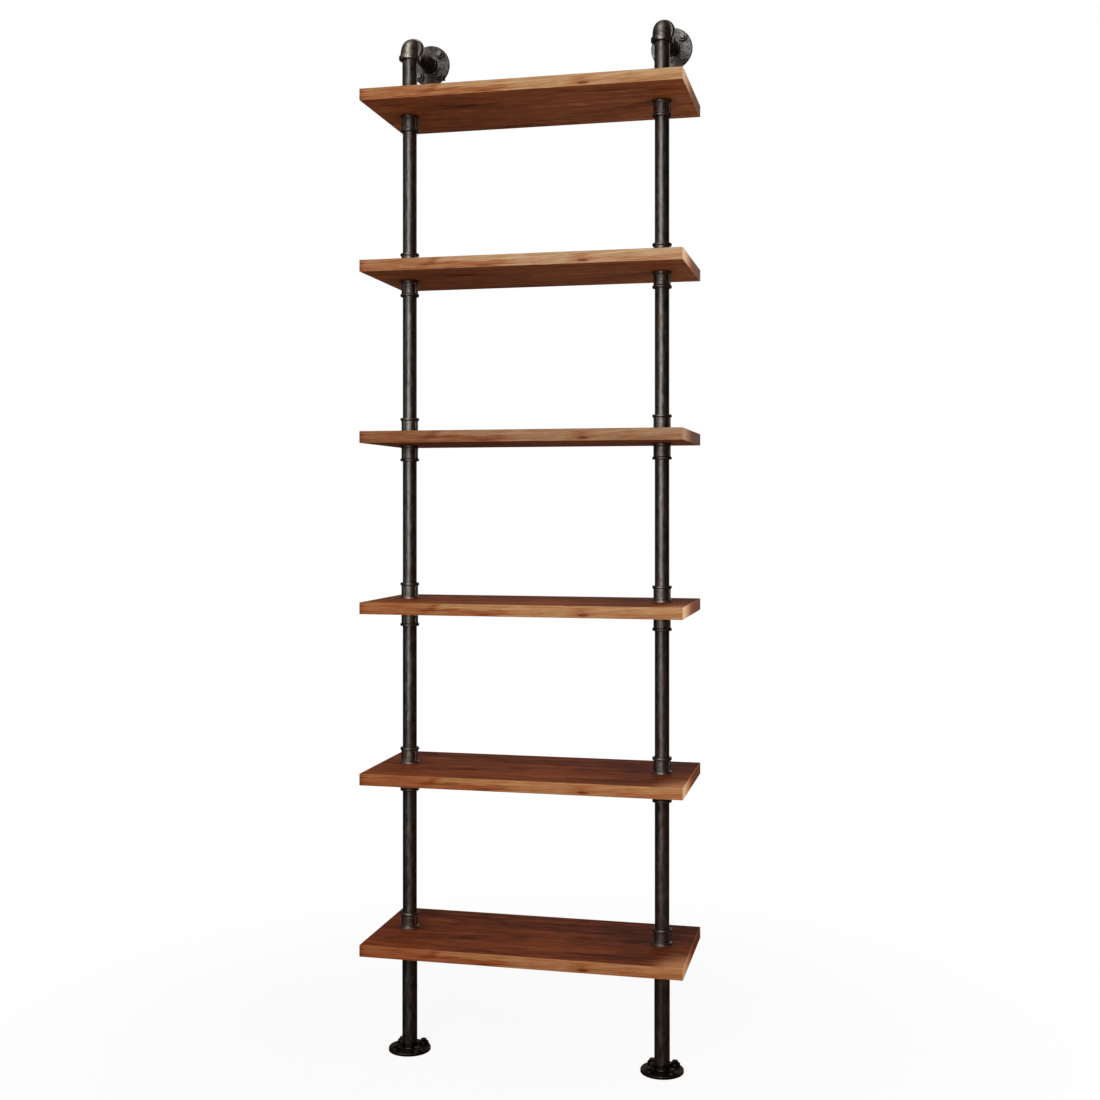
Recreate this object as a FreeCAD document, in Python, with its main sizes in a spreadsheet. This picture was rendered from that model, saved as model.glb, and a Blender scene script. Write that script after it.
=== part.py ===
import FreeCAD, Part
import math
import os
import re

import Sketcher

# Pipe shelving unit: six solid wood boards threaded on two posts of steel pipe.
# Each board is clamped between two iron couplings on a short nipple that passes through it.
# A flange and a leg pipe carry each post from the floor, and an elbow and a short pipe
# tie its top back to a second flange on the wall.
# Frame: X across the boards (right is +), Y from the front towards the wall, Z up, floor at 0.

SHELF_COUNT = 6
SCREW_COUNT = 4                       # in each flange
RIB_COUNT = 4                         # on each coupling
SIDES = {"left": -1, "right": 1}

# Driving dimensions in millimetres. Every length in the model is worked out from these.
DIMENSIONS = (
    # boards
    ("board_width", "600"),
    ("board_depth", "254"),
    ("board_thickness", "22"),
    ("board_round", "1.2"),
    ("lowest_board", "212"),          # floor to underside of the lowest board
    ("shelf_pitch", "316"),           # one board to the next
    ("post_inset", "55.6"),           # board end to post axis
    # pipe
    ("pipe_outer", "26.9"),
    ("pipe_wall", "2.9"),
    ("heavy_swell", "0.9"),           # radial growth of leg, top and wall pipes between threads
    ("thread_depth", "14.5"),         # pipe held inside a coupling or a flange
    ("thread_clearance", "0.1"),      # radial, pipe in fitting
    ("hole_clearance", "0.55"),       # radial, nipple in board
    ("pipe_end_gap", "1.5"),          # pipe end to pipe end in a coupling, or to the back of a flange
    # couplings
    ("coupling_wall", "2.45"),
    ("coupling_band_height", "4.4"),
    ("coupling_band_rise", "2.15"),
    ("coupling_flare", "1.5"),
    ("coupling_round", "1.6"),
    ("rib_width", "2.8"),
    ("rib_rise", "1.3"),              # from the coupling's wall
    ("rib_round", "1.1"),
    ("thread_lead", "0.8"),           # chamfer at the mouth of each thread
    # elbows
    ("elbow_wall", "4.45"),
    ("elbow_throat", "3"),            # inside radius of the bend
    ("elbow_thread_depth", "12"),     # pipe held inside an elbow
    ("elbow_band_height", "8"),
    ("elbow_band_rise", "2.75"),
    ("elbow_flare", "2.5"),
    ("flare_sink", "1"),              # how far inside the elbow's skin the flare of a band ends
    ("elbow_round", "2.4"),
    ("arm_rise", "114.2"),            # top of the top board to the axis of the wall arm
    # flanges
    ("plate_thickness", "5"),
    ("rim_margin", "0.7"),            # screw boss to rim of plate
    ("rim_round", "1.5"),
    ("hub_wall", "1.95"),
    ("hub_fillet", "2"),
    ("screw_circle", "60"),
    ("boss_outer", "19"),
    ("boss_height", "4.5"),
    ("boss_round", "1.4"),
    ("wall_gap", "5"),                # back edge of a board to the wall
    # screws
    ("screw_thread", "6"),            # outside diameter
    ("screw_neck", "5.2"),            # plain stretch between head and thread
    ("screw_clearance", "0.3"),       # radial, thread through flange
    ("screw_head_flats", "10.5"),
    ("screw_head_height", "4.6"),
    ("screw_head_chamfer", "0.8"),
    ("screw_reach", "30"),            # thread behind the wall face, point included
    ("screw_point", "7"),
    ("screw_tip", "0.6"),             # diameter of the point's end
)

# Lengths derived from the driving dimensions.
PIPE_BORE = "(pipe_outer - 2 * pipe_wall)"
SOCKET_BORE = "(pipe_outer + 2 * thread_clearance)"
COUPLING_LENGTH = "(2 * thread_depth + pipe_end_gap)"
COUPLING_GRIP = "(thread_depth + pipe_end_gap)"
ELBOW_OUTER = f"({SOCKET_BORE} + 2 * elbow_wall)"
ELBOW_BEND = f"({ELBOW_OUTER} / 2 + elbow_throat)"
ELBOW_REACH = f"({ELBOW_BEND} + elbow_band_height)"
HUB_OUTER = f"({SOCKET_BORE} + 2 * hub_wall)"
HUB_HEIGHT = "(thread_depth + pipe_end_gap)"
FLANGE_OUTER = "(screw_circle + boss_outer + 2 * rim_margin)"
BOSS_TOP = "(plate_thickness + boss_height)"
STANDOFF = "(board_depth / 2 + wall_gap)"
POST_X = "(board_width / 2 - post_inset)"
POST_Y = "(-(wall_gap + screw_reach) / 2)"
WALL_Y = f"({POST_Y} + {STANDOFF})"
TOP_FACE = f"(lowest_board + {SHELF_COUNT - 1} * shelf_pitch + board_thickness)"
ARM_Z = f"({TOP_FACE} + arm_rise)"

# Shares of a face that one rounding may take: at a square corner, and beside a slope.
SQUARE_SHARE = "0.4"
SLOPE_SHARE = "0.9"

UPRIGHT = FreeCAD.Rotation()
TOWARDS_WALL = FreeCAD.Rotation(FreeCAD.Vector(1, 0, 0), -90)
# Screws stand half a step off the axes.
HALF_STEP = FreeCAD.Rotation(FreeCAD.Vector(0, 0, 1), 180 / SCREW_COUNT)
OFF_WALL = FreeCAD.Rotation(FreeCAD.Vector(1, 0, 0), 90).multiply(HALF_STEP)
# The foremost rib of a coupling stands this far to the left of the front.
RIBS_ASIDE = FreeCAD.Rotation(FreeCAD.Vector(0, 0, 1), -25)

FUNCTIONS = ("min", "sqrt")
TOLERANCE = 1e-6                      # for telling edges apart by their measures

doc = FreeCAD.newDocument("PipeShelvingUnit")


def size(expression):
    """Expression text in which each plain word names a cell of the Sizes sheet."""
    def cell(word):
        return word.group() if word.group() in FUNCTIONS else f"Sizes.{word.group()}"
    return re.sub(r"[a-z]+(?:_[a-z]+)*", cell, expression)


def add_sheet():
    sheet = doc.addObject("Spreadsheet::Sheet", "Sizes")
    for row, (alias, value) in enumerate(DIMENSIONS, start=1):
        sheet.set(f"A{row}", alias)
        sheet.set(f"B{row}", value)
        sheet.setAlias(f"B{row}", alias)
    doc.recompute()


# ---------------------------------------------------------------- sketches and features

def origin_feature(body, role):
    return next(item for item in body.Origin.OriginFeatures if item.Role == role)


def add_body(label, x, y, z, turn=UPRIGHT):
    """Empty body that carries its place in the unit."""
    body = doc.addObject("PartDesign::Body", label)
    body.Label = label
    body.Placement = FreeCAD.Placement(FreeCAD.Vector(), turn)
    for axis, place in (("x", x), ("y", y), ("z", z)):
        body.setExpression(f"Placement.Base.{axis}", size(place))
    return body


def add_sketch(body, role, name, offset="0"):
    sketch = body.newObject("Sketcher::SketchObject", name)
    sketch.AttachmentSupport = (origin_feature(body, role), [""])
    sketch.MapMode = "FlatFace"
    sketch.setExpression("AttachmentOffset.Base.z", size(offset))
    return sketch


def pin(sketch, element, point, x, y):
    """Hold a point of the sketch at a distance from the sketch's origin."""
    drawn = sketch.getPoint(element, point)
    for kind, start, distance in (("DistanceX", drawn.x, x), ("DistanceY", drawn.y, y)):
        index = sketch.addConstraint(Sketcher.Constraint(kind, -1, 1, element, point, start))
        sketch.setExpression(f"Constraints[{index}]", size(distance))


def draw_polygon(sketch, corners):
    count = len(corners)
    turn = 2 * math.pi / count
    start = [FreeCAD.Vector(math.cos(turn * i), math.sin(turn * i), 0) for i in range(count)]
    for i in range(count):
        sketch.addGeometry(Part.LineSegment(start[i], start[(i + 1) % count]), False)
    for i in range(count):
        sketch.addConstraint(Sketcher.Constraint("Coincident", i, 2, (i + 1) % count, 1))
    for i, (x, y) in enumerate(corners):
        pin(sketch, i, 1, x, y)


def draw_circle(sketch, diameter, x="0", y="0"):
    circle = Part.Circle(FreeCAD.Vector(), FreeCAD.Vector(0, 0, 1), 1)
    element = sketch.addGeometry(circle, False)
    pin(sketch, element, 3, x, y)
    index = sketch.addConstraint(Sketcher.Constraint("Diameter", element, 2.0))
    sketch.setExpression(f"Constraints[{index}]", size(diameter))


def add_pad(body, sketch, length, name="Pad"):
    pad = body.newObject("PartDesign::Pad", name)
    pad.Profile = sketch
    pad.setExpression("Length", size(length))
    return pad


def add_pocket(body, sketch, length, name, reverse=False):
    """Cut from the sketch against its normal, or along it when reversed."""
    pocket = body.newObject("PartDesign::Pocket", name)
    pocket.Profile = sketch
    pocket.Reversed = reverse
    pocket.setExpression("Length", size(length))
    return pocket


def add_revolution(body, role, corners, name, axis="V_Axis"):
    sketch = add_sketch(body, role, f"{name}Profile")
    draw_polygon(sketch, corners)
    revolution = body.newObject("PartDesign::Revolution", name)
    revolution.Profile = sketch
    revolution.ReferenceAxis = (sketch, [axis])
    revolution.Angle = 360
    return revolution


def add_ring(body, originals, count, name):
    """Repeat features around the body's own Z."""
    ring = body.newObject("PartDesign::PolarPattern", name)
    ring.Originals = originals
    ring.Axis = (origin_feature(body, "Z_Axis"), [""])
    ring.Angle = 360
    ring.Occurrences = count
    body.Tip = ring


def dress(body, kind, wanted, amount, name):
    """Fillet or chamfer on the edges of the body so far that satisfy wanted."""
    doc.recompute()
    base = body.Tip
    edges = [f"Edge{i}" for i, edge in enumerate(base.Shape.Edges, start=1) if wanted(edge)]
    feature = body.newObject(f"PartDesign::{kind}", name)
    feature.Base = (base, edges)
    feature.setExpression("Radius" if kind == "Fillet" else "Size", size(amount))
    return feature


def is_circle(edge, radius=None, height=None):
    """True for a circular edge of this radius, or with its centre at this height."""
    if not isinstance(edge.Curve, Part.Circle):
        return False
    if radius is not None and abs(edge.Curve.Radius - radius) > TOLERANCE:
        return False
    return height is None or abs(edge.Curve.Center.z - height) < TOLERANCE


def value(*aliases):
    """Sum of these cells of the Sizes sheet."""
    return sum(float(doc.Sizes.get(alias)) for alias in aliases)


# ---------------------------------------------------------------- pieces

def add_shelf(label, level):
    """Solid board with one hole for each post."""
    underside = f"lowest_board + {level} * shelf_pitch"
    board = add_body(label, "-board_width / 2", f"{POST_Y} - board_depth / 2", underside)
    sketch = add_sketch(board, "XY_Plane", "Outline")
    draw_polygon(sketch, (
        ("0", "0"),
        ("board_width", "0"),
        ("board_width", "board_depth"),
        ("0", "board_depth"),
    ))
    for x in ("post_inset", "board_width - post_inset"):
        draw_circle(sketch, "pipe_outer + 2 * hole_clearance", x, "board_depth / 2")
    add_pad(board, sketch, "board_thickness")
    dress(
        board, "Fillet", lambda edge: isinstance(edge.Curve, Part.Line),
        f"min(board_round; {SQUARE_SHARE} * board_thickness)", "Edges",
    )


def add_post_pipe(label, x, z, length):
    """Plain upright length of pipe between two boards."""
    pipe = add_body(label, x, POST_Y, z)
    sketch = add_sketch(pipe, "XY_Plane", "Section")
    draw_circle(sketch, "pipe_outer")
    draw_circle(sketch, PIPE_BORE)
    add_pad(pipe, sketch, length)


def add_heavy_pipe(label, x, y, z, length, start, end, turn=UPRIGHT):
    """Length of heavier pipe, swelled between the threads at its start and at its end."""
    pipe = add_body(label, x, y, z, turn)
    add_revolution(pipe, "XZ_Plane", (
        (f"{PIPE_BORE} / 2", "0"),
        ("pipe_outer / 2", "0"),
        ("pipe_outer / 2", start),
        ("pipe_outer / 2 + heavy_swell", start),
        ("pipe_outer / 2 + heavy_swell", f"{length} - {end}"),
        ("pipe_outer / 2", f"{length} - {end}"),
        ("pipe_outer / 2", length),
        (f"{PIPE_BORE} / 2", length),
    ), "Pipe")


def add_nipples(label, x):
    """One short nipple through each board, six loose pieces in a column."""
    nipples = add_body(label, x, POST_Y, "lowest_board - thread_depth")
    sketch = add_sketch(nipples, "XY_Plane", "Section")
    draw_circle(sketch, "pipe_outer")
    draw_circle(sketch, PIPE_BORE)
    nipple = add_pad(nipples, sketch, "board_thickness + 2 * thread_depth", "Nipple")
    column = nipples.newObject("PartDesign::LinearPattern", "Column")
    column.Originals = [nipple]
    column.Direction = (origin_feature(nipples, "Z_Axis"), [""])
    column.setExpression("Length", size(f"{SHELF_COUNT - 1} * shelf_pitch"))
    column.Occurrences = SHELF_COUNT
    nipples.Tip = column


def add_coupling(label, x, z):
    """Straight iron coupling with a band at each end and ribs along its wall."""
    bore = f"{SOCKET_BORE} / 2"
    wall = f"{bore} + coupling_wall"
    band = f"{wall} + coupling_band_rise"
    coupling = add_body(label, x, POST_Y, z, RIBS_ASIDE)
    add_revolution(coupling, "XZ_Plane", (
        (f"{bore} + thread_lead", "0"),
        (band, "0"),
        (band, "coupling_band_height"),
        (wall, "coupling_band_height + coupling_flare"),
        (wall, f"{COUPLING_LENGTH} - coupling_band_height - coupling_flare"),
        (band, f"{COUPLING_LENGTH} - coupling_band_height"),
        (band, COUPLING_LENGTH),
        (f"{bore} + thread_lead", COUPLING_LENGTH),
        (bore, f"{COUPLING_LENGTH} - thread_lead"),
        (bore, "thread_lead"),
    ), "Casting")
    outline = add_sketch(coupling, "XY_Plane", "RibOutline", "coupling_band_height / 2")
    draw_polygon(outline, (
        (f"{wall} - coupling_wall / 2", "-rib_width / 2"),
        (f"{wall} + rib_rise", "-rib_width / 2"),
        (f"{wall} + rib_rise", "rib_width / 2"),
        (f"{wall} - coupling_wall / 2", "rib_width / 2"),
    ))
    rib = add_pad(coupling, outline, f"{COUPLING_LENGTH} - coupling_band_height", "Rib")
    add_ring(coupling, [rib], RIB_COUNT, "Ribs")

    wall_radius = value("pipe_outer") / 2 + value("thread_clearance", "coupling_wall")
    crest = wall_radius + value("rib_rise") / 2

    def on_crest(edge):
        upright = isinstance(edge.Curve, Part.Line) and edge.Length > value("thread_depth")
        return upright and all(math.hypot(v.X, v.Y) > crest for v in edge.Vertexes)
    dress(coupling, "Fillet", on_crest, f"min(rib_round; {SQUARE_SHARE} * rib_width)", "RibRound")
    limits = f"{SQUARE_SHARE} * coupling_band_height; {SLOPE_SHARE} * coupling_band_rise"
    dress(
        coupling, "Fillet",
        lambda edge: is_circle(edge, wall_radius + value("coupling_band_rise")),
        f"min(coupling_round; {limits})", "Rounding",
    )


def add_elbow(label, x):
    """Iron elbow: one mouth down on the post, one back towards the wall."""
    body_radius = f"{ELBOW_OUTER} / 2"
    band_radius = f"{body_radius} + elbow_band_rise"
    elbow = add_body(label, x, POST_Y, ARM_Z)

    path = add_sketch(elbow, "YZ_Plane", "BendPath")
    arc = Part.ArcOfCircle(
        Part.Circle(FreeCAD.Vector(1, -1, 0), FreeCAD.Vector(0, 0, 1), 1), math.pi / 2, math.pi
    )
    path.addGeometry(arc, False)
    pin(path, 0, 3, ELBOW_BEND, f"-{ELBOW_BEND}")
    path.addConstraint(Sketcher.Constraint("Vertical", 0, 1, 0, 3))
    path.addConstraint(Sketcher.Constraint("Horizontal", 0, 2, 0, 3))
    radius = path.addConstraint(Sketcher.Constraint("Radius", 0, 1.0))
    path.setExpression(f"Constraints[{radius}]", size(ELBOW_BEND))

    section = add_sketch(elbow, "XY_Plane", "BendSection", f"-{ELBOW_BEND}")
    draw_circle(section, ELBOW_OUTER)
    bend = elbow.newObject("PartDesign::AdditivePipe", "Bend")
    bend.Profile = section
    bend.Spine = path

    band = (
        ("0", ELBOW_REACH),
        (band_radius, ELBOW_REACH),
        (band_radius, f"{ELBOW_REACH} - elbow_band_height"),
        (f"{body_radius} - flare_sink", f"{ELBOW_REACH} - elbow_band_height - elbow_flare"),
        ("0", f"{ELBOW_REACH} - elbow_band_height - elbow_flare"),
    )
    add_revolution(elbow, "XZ_Plane", [(r, f"-({z})") for r, z in band], "LowerBand")
    add_revolution(elbow, "YZ_Plane", [(z, r) for r, z in band], "RearBand", "H_Axis")
    rim = value("pipe_outer") / 2 + value("thread_clearance", "elbow_wall", "elbow_band_rise")
    limits = f"{SQUARE_SHARE} * elbow_band_height; {SLOPE_SHARE} * elbow_band_rise"
    dress(
        elbow, "Fillet", lambda edge: is_circle(edge, rim),
        f"min(elbow_round; {limits})", "Rounding",
    )

    lower_mouth = add_sketch(elbow, "XY_Plane", "LowerMouth", f"-{ELBOW_REACH}")
    draw_circle(lower_mouth, SOCKET_BORE)
    add_pocket(elbow, lower_mouth, "elbow_thread_depth", "LowerSocket", reverse=True)
    rear_mouth = add_sketch(elbow, "XZ_Plane", "RearMouth", f"-{ELBOW_REACH}")
    draw_circle(rear_mouth, SOCKET_BORE)
    add_pocket(elbow, rear_mouth, "elbow_thread_depth", "RearSocket", reverse=True)

    bore = add_sketch(elbow, "XY_Plane", "BoreSection", f"-{ELBOW_BEND}")
    draw_circle(bore, PIPE_BORE)
    passage = elbow.newObject("PartDesign::SubtractivePipe", "Passage")
    passage.Profile = bore
    passage.Spine = path


def add_flange(label, x, y, z, turn):
    """Round cast flange: plate, threaded hub and screw bosses. Its back lies at local Z 0."""
    bore = f"{SOCKET_BORE} / 2"
    flange = add_body(label, x, y, z, turn)
    add_revolution(flange, "XZ_Plane", (
        (bore, "0"),
        (f"{FLANGE_OUTER} / 2", "0"),
        (f"{FLANGE_OUTER} / 2", "plate_thickness"),
        (f"{HUB_OUTER} / 2", "plate_thickness"),
        (f"{HUB_OUTER} / 2", HUB_HEIGHT),
        (f"{bore} + thread_lead", HUB_HEIGHT),
        (bore, f"{HUB_HEIGHT} - thread_lead"),
    ), "Casting")
    plate = value("plate_thickness")
    screw_radius = value("screw_circle") / 2
    dress(
        flange, "Fillet",
        lambda edge: is_circle(edge, height=plate) and edge.Curve.Radius < screw_radius,
        f"min(hub_fillet; {SQUARE_SHARE} * ({HUB_HEIGHT} - plate_thickness))", "HubFillet",
    )
    dress(
        flange, "Fillet",
        lambda edge: is_circle(edge, height=plate) and edge.Curve.Radius > screw_radius,
        f"min(rim_round; {SQUARE_SHARE} * plate_thickness)", "RimRound",
    )

    seat = add_sketch(flange, "XY_Plane", "BossOutline")
    draw_circle(seat, "boss_outer", "screw_circle / 2")
    boss = add_pad(flange, seat, BOSS_TOP, "Boss")
    drill = add_sketch(flange, "XY_Plane", "ScrewHole")
    draw_circle(drill, "screw_thread + 2 * screw_clearance", "screw_circle / 2")
    hole = add_pocket(flange, drill, BOSS_TOP, "Hole", reverse=True)
    add_ring(flange, [boss, hole], SCREW_COUNT, "Bosses")
    land = "(boss_outer / 2 - screw_thread / 2 - screw_clearance)"
    limits = f"{SQUARE_SHARE} * boss_height; {SQUARE_SHARE} * {land}"
    top = value("plate_thickness", "boss_height")
    dress(
        flange, "Fillet", lambda edge: is_circle(edge, value("boss_outer") / 2, top),
        f"min(boss_round; {limits})", "BossRound",
    )


def add_screws(label, x, y, z, turn, reach=None):
    """Hex head screws of one flange. With no reach they end at its back face."""
    screws = add_body(label, x, y, z, turn)
    head = screws.newObject("PartDesign::AdditivePrism", "Head")
    head.Polygon = 6
    head.setExpression("Circumradius", size("screw_head_flats / sqrt(3)"))
    head.setExpression("Height", size("screw_head_height"))
    head.setExpression("Placement.Base.z", size(BOSS_TOP))
    neck = screws.newObject("PartDesign::AdditiveCylinder", "Neck")
    neck.setExpression("Radius", size("screw_neck / 2"))
    neck.setExpression("Height", size(BOSS_TOP))
    parts = [head, neck]
    if reach is not None:
        thread = screws.newObject("PartDesign::AdditiveCylinder", "Thread")
        thread.setExpression("Radius", size("screw_thread / 2"))
        thread.setExpression("Height", size(f"{reach} - screw_point"))
        thread.setExpression("Placement.Base.z", size(f"screw_point - {reach}"))
        point = screws.newObject("PartDesign::AdditiveCone", "Point")
        point.setExpression("Radius1", size("screw_tip / 2"))
        point.setExpression("Radius2", size("screw_thread / 2"))
        point.setExpression("Height", size("screw_point"))
        point.setExpression("Placement.Base.z", size(f"-{reach}"))
        parts += [thread, point]
    for part in parts:
        part.setExpression("Placement.Base.x", size("screw_circle / 2"))
    add_ring(screws, parts, SCREW_COUNT, "Screws")
    top = value("plate_thickness", "boss_height", "screw_head_height")

    def on_top(edge):
        return all(abs(vertex.Z - top) < TOLERANCE for vertex in edge.Vertexes)
    dress(
        screws, "Chamfer", on_top,
        f"min(screw_head_chamfer; {SQUARE_SHARE} * screw_head_height)", "HeadChamfer",
    )


# ---------------------------------------------------------------- the unit

def build_post(side, sign):
    """Everything that hangs on one post, from the floor flange to the wall flange."""
    x = f"{sign} * {POST_X}"

    add_flange(f"floor_flange_{side}", x, POST_Y, "0", HALF_STEP)
    add_screws(f"floor_screws_{side}", x, POST_Y, "0", HALF_STEP)
    add_heavy_pipe(
        f"leg_pipe_{side}", x, POST_Y, "pipe_end_gap",
        f"(lowest_board - {COUPLING_GRIP} - pipe_end_gap)", "thread_depth", "thread_depth",
    )
    add_nipples(f"shelf_nipples_{side}", x)

    for level in range(SHELF_COUNT):
        number = level + 1
        underside = f"(lowest_board + {level} * shelf_pitch)"
        above = f"{underside} + board_thickness"
        add_coupling(f"coupling_lower_{number}_{side}", x, f"{underside} - {COUPLING_LENGTH}")
        add_coupling(f"coupling_upper_{number}_{side}", x, above)
        if number < SHELF_COUNT:
            add_post_pipe(
                f"post_pipe_{number}_{side}", x, f"{above} + {COUPLING_GRIP}",
                f"shelf_pitch - board_thickness - 2 * {COUPLING_GRIP}",
            )

    add_heavy_pipe(
        f"top_pipe_{side}", x, POST_Y, f"{TOP_FACE} + {COUPLING_GRIP}",
        f"(arm_rise - {COUPLING_GRIP} - {ELBOW_REACH} + elbow_thread_depth)",
        "thread_depth", "elbow_thread_depth",
    )
    add_elbow(f"elbow_{side}", x)
    add_heavy_pipe(
        f"wall_pipe_{side}", x, f"{POST_Y} + {ELBOW_REACH} - elbow_thread_depth", ARM_Z,
        f"({STANDOFF} - {ELBOW_REACH} + elbow_thread_depth - pipe_end_gap)",
        "elbow_thread_depth", "thread_depth", TOWARDS_WALL,
    )
    add_flange(f"wall_flange_{side}", x, WALL_Y, ARM_Z, OFF_WALL)
    add_screws(f"wall_screws_{side}", x, WALL_Y, ARM_Z, OFF_WALL, "screw_reach")


def write_parts():
    """Check every object, then write one STEP file for each body."""
    failed = [item.Name for item in doc.Objects if {"Invalid", "Error"} & set(item.State)]
    if failed:
        raise RuntimeError(f"failed objects: {failed}")
    bodies = [item for item in doc.Objects if item.TypeId == "PartDesign::Body"]
    for body in bodies:
        if body.Shape.isNull() or not body.Shape.isValid():
            raise RuntimeError(f"bad shape: {body.Label}")
    os.makedirs("parts", exist_ok=True)
    for body in bodies:
        body.Shape.exportStep(os.path.join("parts", f"{body.Label}.step"))
        box = body.Shape.BoundBox
        print(f"{body.Label}: {len(body.Shape.Solids)} solid(s), "
              f"{box.XLength:.2f} x {box.YLength:.2f} x {box.ZLength:.2f}, "
              f"volume {body.Shape.Volume:.1f}")


add_sheet()
for level in range(SHELF_COUNT):
    add_shelf(f"shelf_{level + 1}", level)
for side, sign in SIDES.items():
    build_post(side, sign)
doc.recompute()
write_parts()
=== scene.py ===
"""Looks of the pipe shelving unit: six oiled wood boards on two posts of black iron pipe.

Every piece shows the shape of its CAD node and gets its material here. Places on a surface are in
millimetres. The floor, lamps and camera, and the reach of edges, corners and relief, are in metres.
"""

import math

import bpy
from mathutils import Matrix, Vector


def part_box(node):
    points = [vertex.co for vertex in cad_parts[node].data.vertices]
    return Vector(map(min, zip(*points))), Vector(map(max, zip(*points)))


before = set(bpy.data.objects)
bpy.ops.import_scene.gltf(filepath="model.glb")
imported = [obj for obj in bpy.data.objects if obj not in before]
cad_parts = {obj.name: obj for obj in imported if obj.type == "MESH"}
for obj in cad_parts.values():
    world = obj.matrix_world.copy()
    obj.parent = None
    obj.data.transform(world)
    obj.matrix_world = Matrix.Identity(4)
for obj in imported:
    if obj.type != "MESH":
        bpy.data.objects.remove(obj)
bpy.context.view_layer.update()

SIDES = ("left", "right")
SHELF_COUNT = 6
MILLIMETRES = 1000.0
Y_AXIS = 1
Z_AXIS = 2
WHITE = (1.0, 1.0, 1.0, 1.0)

# How far the surface turns from plain to a full edge, as 1 less the cosine of the angle.
TURN_BORDER = (0.02, 0.25)


def colour(red, green, blue):
    """A colour as it is seen on a screen, 0 to 255, as the linear one that a shader takes.

    The formula and its numbers are those of the sRGB standard.
    """
    linear = []
    for part in (red, green, blue):
        share = part / 255
        linear.append(share / 12.92 if share <= 0.04045 else ((share + 0.055) / 1.055) ** 2.4)
    return (*linear, 1.0)


def dimmed(shade, share):
    """That colour, darker."""
    return (*(part * share for part in shade[:3]), 1.0)


def alike(number):
    """The same number along X, Y and Z, or in red, green and blue."""
    return (number, number, number)


class Value:
    """A number that a node works out. It adds, subtracts and multiplies as plain numbers do."""

    def __init__(self, look, socket):
        self.look = look
        self.socket = socket

    def __add__(self, other):
        return self.look.math("ADD", self, other)

    def __sub__(self, other):
        return self.look.math("SUBTRACT", self, other)

    def __rsub__(self, other):
        return self.look.math("SUBTRACT", other, self)

    def __mul__(self, other):
        return self.look.math("MULTIPLY", self, other)

    def __abs__(self):
        return self.look.math("ABSOLUTE", self)

    __radd__ = __add__
    __rmul__ = __mul__


def weighted(values, weights):
    """The sum of the named values, each times its own weight."""
    return sum(values[name] * weight for name, weight in weights.items())


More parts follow.
